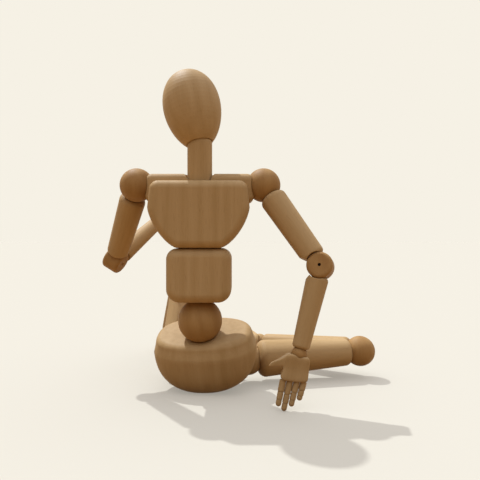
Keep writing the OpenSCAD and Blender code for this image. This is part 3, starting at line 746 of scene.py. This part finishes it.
@dataclass
class Trunk:
    """The carved blocks of the trunk: pelvis, belly, chest and the yoke across the shoulders."""

    waist_cup: float = 11.6
    bore: float = 2.3
    anchor_bore: float = 3.3
    hip_cup: float = 8.8
    hip: Triple = (20.0, -18.0, -32.8)
    hip_anchor: float = 7.0
    thigh_room: float = 11.2
    stand_y: float = -4.0
    stand_bore: float = 2.1
    stand_depth: float = 11.0
    stand_spot: float = 4.0
    shoulder_cup: float = 9.0
    shoulder: Triple = (32.6, 0.0, 32.1)
    yoke_size: Triple = (55.2, 16.0, 14.8)
    yoke_at: Triple = (0.0, -1.0, 30.2)
    yoke_edge: float = 3.6
    yoke_anchor: float = 10.5
    yoke_grain: Triple = (1.0, 0.0, 0.02)
    step_size: Triple = (80.0, 40.0, 40.0)
    step_at: Triple = (0.0, -13.0, 42.8)
    neck: Triple = (0.0, 2.6, 31.0)
    neck_well: float = 6.6
    neck_flare: float = 12.0
    neck_reach: float = 20.0
    torso_ledge: float = 19.0
    torso_room: float = 20.0
    washer: float = 1.6
    through: float = 60.0
    spare: float = 1.0

    def dress(self) -> None:
        """Model the four blocks, and give each its wood and its body."""
        lean = turned(PELVIS_AIM)
        waist = Matrix.Translation(JOINT_AT["waist_bend"])
        chest = Matrix.Translation(JOINT_AT["chest_turn"])
        blocks = ((self._pelvis(), waist @ lean, "pelvis", "pelvis", lean.to_3x3() @ UP),
                  (self._belly(), waist, "belly", "belly", UP),
                  (self._chest(), chest, "chest", "chest_block", UP),
                  (self._yoke(), chest, "chest", "shoulder_yoke", Vector(self.yoke_grain)))
        for number, (piece, local, body, node, grain) in enumerate(blocks, TRUNK_PLANK):
            Bench.finish(piece, local)
            fit(piece, body, node, grain, number)

    def _pelvis(self) -> Piece:
        """The tub-shaped pelvis with its cups, the room for the thighs and the stand's bore."""
        block = Tub()
        piece = block.build("carved_pelvis")
        Bench.cup(piece, self.waist_cup, (0, 0, 0))
        thigh_way = (turned(PELVIS_AIM).inverted() @ turned(LEFT_LEG_AIM)).to_3x3() @ -UP
        for side in Side:
            hip = side.across(self.hip)
            way = side.across(thigh_way)
            Bench.drill(piece, hip - way, way, self.thigh_room, self.through)
            self._cut_socket(piece, hip, self.hip_cup, self.hip_anchor)
        foot = Vector((0, self.stand_y, block.low - self.spare))
        Bench.drill(piece, foot, UP, self.stand_bore, self.stand_depth + 2 * self.spare)
        Bench.drill(piece, foot, UP, self.stand_spot, 2 * self.spare)
        return piece

    def _belly(self) -> Piece:
        """The belly with the waist ball's cup and the spring's bore."""
        block = Block(width=32.4, depth=25, low=10.2, high=37.2, middle_y=1.5, low_corner=6.8,
                      high_corner=5.4, rim=4.6)
        piece = block.build("carved_belly")
        Bench.drill(piece, Vector(), UP, self.bore, self.through)
        Bench.cup(piece, self.waist_cup, (0, 0, 0))
        return piece

    def _chest(self) -> Piece:
        """The chest with its step for the yoke, the neck's groove and the spring's bore."""
        block = Block(width=50.6, depth=26, low=0, high=33.4, middle_y=2, low_corner=14.5, high_corner=4,
                      rim=4, top_share=0.945, low_round=0.385, low_rise=20)
        piece = block.build("carved_chest")
        Bench.cut(piece, Bench.cube("step", self.step_size, self.step_at))
        Bench.drill(piece, -self.spare * UP, UP, self.bore, self.torso_ledge + 2 * self.spare)
        Bench.drill(piece, self.torso_ledge * UP, UP, self.anchor_bore, self.torso_room)
        self._cut_neck_well(piece)
        return piece

    def _yoke(self) -> Piece:
        """The yoke with the shoulder cups, their bores and the neck's well."""
        piece = Bench.cube("carved_yoke", self.yoke_size, self.yoke_at)
        with Bench.editing(piece):
            bpy.ops.mesh.select_all(action="SELECT")
            bpy.ops.mesh.bevel(offset=self.yoke_edge, segments=Bench.RIM_STEPS, clamp_overlap=False)
        for side in Side:
            self._cut_socket(piece, side.across(self.shoulder), self.shoulder_cup, self.yoke_anchor)
        self._cut_neck_well(piece)
        return piece

    def _cut_socket(self, piece: Piece, ball: Vector, cup: float, anchor: float) -> None:
        """Cut a ball's cup and the bore that its spring is anchored in.

        Args:
            piece: The piece.
            ball: The ball's middle.
            cup: The cup's radius.
            anchor: How far from the middle plane the spring is anchored.
        """
        inward = Vector((-math.copysign(1, ball.x), 0, 0))
        Bench.cup(piece, cup, ball)
        Bench.drill(piece, ball, inward, self.anchor_bore, abs(ball.x) - anchor + self.washer)

    def _cut_neck_well(self, piece: Piece) -> None:
        """Cut the round-bottomed well that the neck tilts in.

        Args:
            piece: The piece.
        """
        foot = Vector(self.neck)
        wide = self.neck_well + math.tan(math.radians(self.neck_flare)) * self.neck_reach
        Bench.drill(piece, foot, UP, self.neck_well, self.neck_reach, wide)
        Bench.cup(piece, self.neck_well, foot)


@dataclass
class Hand:
    """A carved palm with its thumb, cupped for the wrist ball and grooved for four fingers."""

    side: Side
    palm_width: float = 12.1
    palm_thick: float = 5.0
    palm_low: float = -13.2
    palm_high: float = -0.4
    wrist_share: float = 0.78
    wrist_curve: float = 1.4
    heel_share: float = 1.62
    heel_from: float = 0.45
    slant: float = 1.1
    wrist_cup: float = 4.15
    knuckle: float = 1.78
    cage: float = 1.06
    cage_cuts: int = 3
    smoothing: int = 3
    finger_lengths: tuple[float, ...] = (11.9, 13.4, 11.3, 8.3)
    finger_leans: tuple[float, ...] = (1.0, 0.0, -1.5, -3.0)
    finger_pitch: float = 3.2
    thumb_low: float = -7.6
    thumb_high: float = -1.6
    thumb_facing: float = 0.7
    thumb_steps: tuple[Triple, ...] = ((2.2, -1.7, 0.7), (2.6, -1.3, 0.74), (2.3, -1.1, 0.62))

    def dress(self, number: int) -> None:
        """Model the hand and its fingers, and give each its wood and its body.

        Args:
            number: The hand's place in the plank.
        """
        grain = self.frame().to_3x3() @ UP
        hand = self.side.named("hand")
        fit(self.build(), hand, hand, grain, number)
        for order, (name, spot) in enumerate(zip(FINGERS, self.knuckles())):
            lean = self.finger_leans[order] * self.thumb_side()
            carved = Finger(self.side.named(f"carved_finger_{order}"), self.finger_lengths[order], lean)
            node = self.side.named(name)
            fit(carved.build(self.frame(), spot), node, node, grain, number + FINGER_PLANK + len(name))

    def frame(self) -> Matrix:
        """The hand's own frame: X along its hinge, Z up from the fingers to the wrist."""
        wrist = JOINT_AT[self.side.named("wrist_bend")]
        hinge = JOINT_AXIS[self.side.named("wrist_bend")].normalized()
        reach = JOINT_AT[self.side.named("knuckle_1")] - wrist
        up = -(reach - hinge * reach.dot(hinge)).normalized()
        back = up.cross(hinge)
        turn = Matrix((hinge, back, up)).transposed().to_4x4()
        return Matrix.Translation(wrist) @ turn

    def build(self) -> Piece:
        """Model the palm.

        Returns:
            The piece, in the frame.
        """
        height = self.palm_high - self.palm_low
        piece = Bench.cube(self.side.named("carved_hand"),
                           (self.palm_width * self.cage, self.palm_thick * self.cage, height),
                           (0, 0, (self.palm_high + self.palm_low) / 2))
        with Bench.editing(piece):
            bpy.ops.mesh.select_all(action="SELECT")
            bpy.ops.mesh.subdivide(number_cuts=self.cage_cuts)
            self._taper(piece)
            self._draw_thumb(piece)
        smooth = piece.modifiers.new("smooth", "SUBSURF")
        smooth.levels = self.smoothing
        smooth.render_levels = self.smoothing
        Bench.apply(piece, smooth)
        Bench.cup(piece, self.wrist_cup, (0, 0, 0))
        for spot in self.knuckles():
            Bench.cup(piece, self.knuckle, spot)
        Bench.finish(piece, self.frame())
        return piece

    def knuckles(self) -> list[Vector]:
        """The knuckles in the hand's frame, in millimetres, index first."""
        inverse = self.frame().inverted()
        count = len(FINGERS)
        spots = [(inverse @ JOINT_AT[self.side.named(f"knuckle_{i}")]) / MM for i in range(count)]
        step = math.copysign(self.finger_pitch, spots[-1].x - spots[0].x)
        return [Vector((step * (i - (count - 1) / 2), spot.y, spot.z)) for i, spot in enumerate(spots)]

    def thumb_side(self) -> int:
        """1 where the thumb is on +X and -1 where it is on -X."""
        spots = self.knuckles()
        return 1 if spots[0].x > spots[-1].x else -1

    def _taper(self, piece: Piece) -> None:
        """Narrow the palm towards the wrist, thicken its heel and slant its knuckle line.

        Args:
            piece: The palm in edit mode.
        """
        spots = self.knuckles()
        for vert in Bench.corners(piece):
            rise = max(0.0, (vert.co.z - self.palm_low) / (self.palm_high - self.palm_low))
            heel = max(0.0, (rise - self.heel_from) / (1 - self.heel_from))
            across = max(0.0, (vert.co.x - spots[1].x) / (spots[-1].x - spots[1].x))
            vert.co.z += self.slant * across * (1 - rise) ** 2
            vert.co.x *= 1 - (1 - self.wrist_share) * rise ** self.wrist_curve
            vert.co.y *= 1 + (self.heel_share - 1) * heel

    def _draw_thumb(self, piece: Piece) -> None:
        """Draw the thumb out of the palm's edge, step by step.

        Args:
            piece: The palm in edit mode.
        """
        thumb_side = self.thumb_side()

        def at_root(face: bmesh.types.BMFace) -> bool:
            """Whether the thumb grows from this face."""
            outward = face.normal.x * thumb_side > self.thumb_facing
            return outward and self.thumb_low < face.calc_center_median().z < self.thumb_high

        Bench.select(piece, Part.FACE, at_root)
        for out, up, size in self.thumb_steps:
            bpy.ops.mesh.extrude_region_move(TRANSFORM_OT_translate={"value": (out * thumb_side, 0, up)})
            bpy.ops.transform.resize(value=(1, size, size))


@dataclass
class Finger:
    """A carved finger of three barrels, each narrower than the last, with a groove at each joint."""

    name: str
    length: float
    lean: float
    radius: float = 1.54
    taper: float = 0.07
    groove: float = 0.66
    sunk: float = 0.4
    soft: float = 0.5
    shares: Triple = (0.42, 0.31, 0.27)
    around: int = 28
    tip_steps: int = 7

    def rings(self) -> list[tuple[float, float]]:
        """How far down the finger each ring lies, with its radius, from the knuckle to the tip."""
        made: list[tuple[float, float]] = []
        start = -self.sunk * self.radius
        shoulder = ((0.0, self.groove), (0.12, 0.92), (0.45, 0.985), (1.0, 1.0))
        for barrel in range(len(self.shares)):
            wide = self.radius * (1 - self.taper * barrel)
            stop = self.length * sum(self.shares[:barrel + 1])
            soft = self.soft * wide
            made += [(start + soft * s, wide * r) for s, r in shoulder]
            if barrel == len(self.shares) - 1:
                turns = [math.pi / 2 * i / self.tip_steps for i in range(self.tip_steps)]
                made += [(stop - wide * (1 - math.sin(turn)), wide * math.cos(turn)) for turn in turns]
            else:
                made += [(stop - soft * s, wide * r) for s, r in reversed(shoulder)]
            start = stop
        return made

    def build(self, local: Matrix, knuckle: Vector) -> Piece:
        """Model the finger.

        Args:
            local: The hand's frame.
            knuckle: The knuckle's place in that frame, in millimetres.

        Returns:
            The piece, in the frame.
        """
        piece = Bench.disc(self.name, self.around)
        with Bench.editing(piece):
            Bench.draw_out([(-down, wide, wide) for down, wide in self.rings()])
        lean = Matrix.Rotation(math.radians(self.lean), 4, "Y")
        Bench.finish(piece, local @ Matrix.Translation(knuckle * MM) @ lean)
        return piece


@dataclass
class Foot:
    """A carved foot with a flat sole and rounded edges, cupped for the ankle ball."""

    side: Side
    heel_back: float = 9.0
    heel: float = 6.0
    heel_high: float = 13.0
    toe: float = 7.5
    toe_high: float = 6.0
    toe_in: float = 0.6
    length: float = 36.0
    sole: float = -13.0
    edge: float = 2.4
    ankle_cup: float = 5.22
    shin_end: float = 3.35
    shin_room: float = 5.95
    shin_reach: float = 40.0
    shin_swings: tuple[float, ...] = (-24.5, -12.0, 0.0, 12.0, 24.5)
    around: int = 64
    steps: int = 6

    @property
    def aim(self) -> Matrix:
        """How the foot's own frame is turned."""
        return turned(LEFT_FOOT_AIM if self.side is Side.LEFT else RIGHT_FOOT_AIM)

    def dress(self, number: int) -> None:
        """Model the foot, and give it its body and the wood at this place in the plank."""
        foot = self.side.named("foot")
        fit(self.build(), foot, foot, self.aim.to_3x3() @ Vector((0, 1, 0)), number)

    def build(self) -> Piece:
        """Model the foot.

        Returns:
            The piece, in the frame.
        """
        piece = Bench.disc(self.side.named("carved_foot"), self.around)
        with Bench.editing(piece):
            self._lay_sole(piece)
            self._raise_sides(piece)
            Bench.face_outwards()
        Bench.cup(piece, self.ankle_cup, (0, 0, 0))
        self._clear_shin(piece)
        Bench.finish(piece, Matrix.Translation(JOINT_AT[self.side.named("ankle_bend")]) @ self.aim)
        return piece

    def _clear_shin(self, piece: Piece) -> None:
        """Cut the room that the shin's end swings in.

        Args:
            piece: The foot.
        """
        ankle = self.side.named("ankle_bend")
        shin = JOINT_AT[self.side.named("knee_lower")] - JOINT_AT[ankle]
        for swing in self.shin_swings:
            turn = Matrix.Rotation(math.radians(swing), 4, JOINT_AXIS[ankle])
            way = ((self.aim.inverted() @ turn).to_3x3() @ shin).normalized()
            Bench.drill(piece, way * self.shin_end, way, self.shin_room, self.shin_reach)

    def _middle(self, front: bool) -> Vector:
        """The middle of the round of the toes in front, or of the heel."""
        if front:
            return Vector((-self.side.sign * self.toe_in, self.heel_back - self.length + self.toe, self.sole))
        return Vector((0, self.heel_back - self.heel, self.sole))

    def _lay_sole(self, piece: Piece) -> None:
        """Draw the round sheet out to the sole's outline.

        Args:
            piece: The foot in edit mode.
        """
        for vert in Bench.corners(piece):
            front = vert.co.y < 0
            reach = (self.toe if front else self.heel) - self.edge / 2
            vert.co = self._middle(front) + vert.co * reach

    def _raise_sides(self, piece: Piece) -> None:
        """Raise the sole's edge, the sides and the rounded top, ring by ring.

        Args:
            piece: The foot in edit mode.
        """
        low = self.edge / 2
        turns = [math.pi / 2 * i / self.steps for i in range(self.steps + 1)]
        bpy.ops.mesh.select_all(action="SELECT")
        self._round_edge(piece, [(low * math.sin(a), low * (1 - math.cos(a))) for a in turns])
        self._next_ring(piece, self.toe_high - self.edge - low, 0.0, self.heel_high - self.toe_high)
        self._round_edge(piece, [(self.edge * (math.cos(a) - 1), self.edge * math.sin(a)) for a in turns])

    def _round_edge(self, piece: Piece, stops: list[tuple[float, float]]) -> None:
        """Follow a rounded edge, by how far out and up each ring lies from its start."""
        for (out, up), (next_out, next_up) in zip(stops, stops[1:]):
            self._next_ring(piece, next_up - up, next_out - out, 0.0)

    def _next_ring(self, piece: Piece, up: float, out: float, slope: float) -> None:
        """Extrude the top face to the next ring.

        Args:
            piece: The foot in edit mode.
            up: How far the ring rises.
            out: How far it moves outwards.
            slope: How much further it rises at the heel than at the toes.
        """
        bpy.ops.mesh.extrude_region_move(TRANSFORM_OT_translate={"value": (0, 0, up)})
        toe_y, heel_y = (self._middle(front).y for front in (True, False))
        for vert in Bench.corners(piece):
            if vert.select:
                away = vert.co - self._middle(vert.co.y < (toe_y + heel_y) / 2)
                away.z = 0
                vert.co += away.normalized() * out
                vert.co.z += slope * min(1.0, (vert.co.y - toe_y) / (heel_y - toe_y))


class TurnedPieces:
    """The pieces that keep their solids: balls, limbs, head, neck, springs and pins."""

    LIMBS = {
        "upper_arm": ("shoulder_spread", "elbow_upper"),
        "forearm": ("elbow_lower", "wrist_bend"),
        "thigh": ("hip_spread", "knee_upper"),
        "shin": ("knee_lower", "ankle_bend"),
    }
    BALLS = ("shoulder_ball", "elbow_disc", "wrist_ball", "knee_ball")
    BALL_LEAN = 0.3
    PALE_BALLS = ("hip_ball", "ankle_ball")
    PALE_GRAIN = Vector((1, 0.3, 0.2))
    WAIST_GRAIN = Vector((0.2, 0.1, 1))
    TRUNK_STEEL = ("pelvis_eye", "torso_spring", "neck_pin", "neck_spring", "head_eye")
    LIMB_STEEL = ("shoulder_spring", "upper_arm_spring", "forearm_spring", "wrist_eye", "hip_spring",
                  "thigh_spring", "shin_spring")

    def dress(self) -> None:
        """Give each kept solid its finish, with the grain along the piece."""
        self._put("neck", LIMB_WOOD, JOINT_AT["head_nod"] - JOINT_AT["neck_tilt"])
        self._put("head", LIMB_WOOD, JOINT_AXIS["head_turn"])
        self._put("waist_ball", BALL_WOOD, self.WAIST_GRAIN)
        for hidden in self.TRUNK_STEEL:
            self._put(hidden, SPRING_STEEL, UP)
        for side in Side:
            self._dress_side(side)

    def _dress_side(self, side: Side) -> None:
        """Give one side's arm and leg their finishes.

        Args:
            side: The side.
        """
        for limb, (near, far) in self.LIMBS.items():
            self._put(side.named(limb), LIMB_WOOD, JOINT_AT[side.named(far)] - JOINT_AT[side.named(near)])
        for number, ball in enumerate(self.BALLS):
            grain = Vector((self.BALL_LEAN * math.sin(number), self.BALL_LEAN * math.cos(number), 1))
            self._put(side.named(ball), BALL_WOOD, grain)
        for ball in self.PALE_BALLS:
            self._put(side.named(ball), LIMB_WOOD, self.PALE_GRAIN)
        for hidden in self.LIMB_STEEL:
            self._put(side.named(hidden), SPRING_STEEL, UP)
        # The elbow pin's near-black colour is painted shade of its bore
        self._put(side.named("elbow_pin"), PIN_BORE_SHADE, UP)

    @staticmethod
    def _put(node: str, finish: WoodFinish | SteelFinish, grain: Vector) -> None:
        """Give one node its finish.

        Args:
            node: The node's name.
            finish: The finish.
            grain: The way of the grain.
        """
        piece = frame["nodes"][node]
        number = sorted(frame["nodes"]).index(node)
        piece.data.materials.clear()
        piece.data.materials.append(finish.material(node, grain, number))
        LOG.info("dressed %s", node)


@dataclass
class Studio:
    """A pale floor that runs into a pale backdrop, one lamp from above and soft light all round."""

    paper: Colour = srgb(246, 241, 229)
    floor_size: float = 40.0
    glow: float = 0.34
    floor_share: float = 0.373
    floor_tint: Triple = (1.01, 0.951, 0.876)
    bounce: Colour = (0.29, 0.175, 0.08, 1.0)
    sky_low: Colour = (0.17, 0.125, 0.068, 1.0)
    sky_middle: Colour = (0.34, 0.315, 0.28, 1.0)
    sky_high: Colour = (1.75, 1.85, 2.1, 1.0)
    sky_stops: Triple = (0.45, 0.72, 1.0)
    lamp_tint: Triple = (0.85, 0.93, 1.0)
    lamp_power: float = 3.4
    lamp_spread: float = 1.0
    lamp_way: Triple = (-0.38, 0.47, -1.0)
    camera_at: Triple = (0.0003, 0.3178, 0.0798)
    camera_turn: Triple = (90.0, 0.0, 180.0)
    camera_view: float = 50.0
    camera_near: float = 0.005

    def build(self) -> None:
        """Set up the floor, the backdrop, the lamp and the camera."""
        bpy.context.scene.view_settings.view_transform = "Standard"
        self._floor()
        self._backdrop()
        self._lamp()
        self._camera()

    def _seen(self, sheet: NodeSheet) -> Socket:
        """Tell what the camera sees from the light on the figure.

        Args:
            sheet: The tree to add to.

        Returns:
            The socket with 1 for what is seen, also in gloss and through glass, and 0 for light.
        """
        path = sheet.node("ShaderNodeLightPath").outputs
        gloss = sheet.math("ADD", path["Is Glossy Ray"], path["Is Transmission Ray"], clamp=True)
        return sheet.math("ADD", path["Is Camera Ray"], gloss, clamp=True)

    def _floor(self) -> None:
        """The floor, which keeps the figure's shadow."""
        floor = Bench.added(bpy.ops.mesh.primitive_plane_add, "floor", size=self.floor_size)
        paper, sheet = new_material("paper_floor")
        lit = [c * t * self.floor_share for c, t in zip(self.paper, self.floor_tint)]
        shown = sheet.node("ShaderNodeAddShader", {
            0: sheet.node("ShaderNodeEmission", {"Color": self.paper, "Strength": self.glow}).outputs[0],
            1: sheet.node("ShaderNodeBsdfDiffuse", {"Color": (*lit, 1.0)}).outputs[0]})
        dim = sheet.node("ShaderNodeBsdfDiffuse", {"Color": self.bounce})
        both = sheet.node("ShaderNodeMixShader", {
            0: self._seen(sheet), 1: dim.outputs[0], 2: shown.outputs[0]})
        sheet.node("ShaderNodeOutputMaterial", {"Surface": both.outputs[0]})
        floor.data.materials.append(paper)

    def _backdrop(self) -> None:
        """The pale backdrop and the soft light, brighter from above."""
        world = bpy.data.worlds.new("backdrop")
        world.use_nodes = True
        bpy.context.scene.world = world
        sheet = NodeSheet(world.node_tree)
        way = sheet.node("ShaderNodeTexCoord").outputs["Generated"]
        height = sheet.node("ShaderNodeSeparateXYZ", {0: way}).outputs["Z"]
        share = sheet.node("ShaderNodeMapRange", {"Value": height, "From Min": -1.0, "From Max": 1.0})
        sky = sheet.ramp(share.outputs[0], self.sky_stops, (self.sky_low, self.sky_middle, self.sky_high))
        soft = sheet.node("ShaderNodeBackground", {"Color": sky})
        plain = sheet.node("ShaderNodeBackground", {"Color": self.paper})
        both = sheet.node("ShaderNodeMixShader", {
            0: self._seen(sheet), 1: soft.outputs[0], 2: plain.outputs[0]})
        sheet.node("ShaderNodeOutputWorld", {"Surface": both.outputs[0]})

    def _lamp(self) -> None:
        """The lamp, up in front of the figure on its left."""
        lamp = bpy.data.lights.new("lamp", "SUN")
        lamp.energy = self.lamp_power
        lamp.color = self.lamp_tint
        lamp.angle = math.radians(self.lamp_spread)
        holder = bpy.data.objects.new("lamp", lamp)
        holder.rotation_euler = Vector(self.lamp_way).to_track_quat("-Z", "Y").to_euler()
        bpy.context.scene.collection.objects.link(holder)

    def _camera(self) -> None:
        """The camera behind the figure, level, at the height of its belly."""
        camera = bpy.data.cameras.new("camera")
        camera.sensor_fit = "HORIZONTAL"
        camera.angle = math.radians(self.camera_view)
        camera.clip_start = self.camera_near
        holder = bpy.data.objects.new("camera", camera)
        holder.location = self.camera_at
        holder.rotation_euler = [math.radians(a) for a in self.camera_turn]
        bpy.context.scene.collection.objects.link(holder)
        bpy.context.scene.camera = holder


def main() -> None:
    """Build the figure's looks and the studio round it."""
    logging.basicConfig(level=logging.INFO, format="%(name)s: %(message)s")
    Trunk().dress()
    number = LIMB_PLANK
    for side in Side:
        Hand(side).dress(number)
        Foot(side).dress(number + 1)
        number += 2
    TurnedPieces().dress()
    Studio().build()


if __name__ == "__main__":
    main()
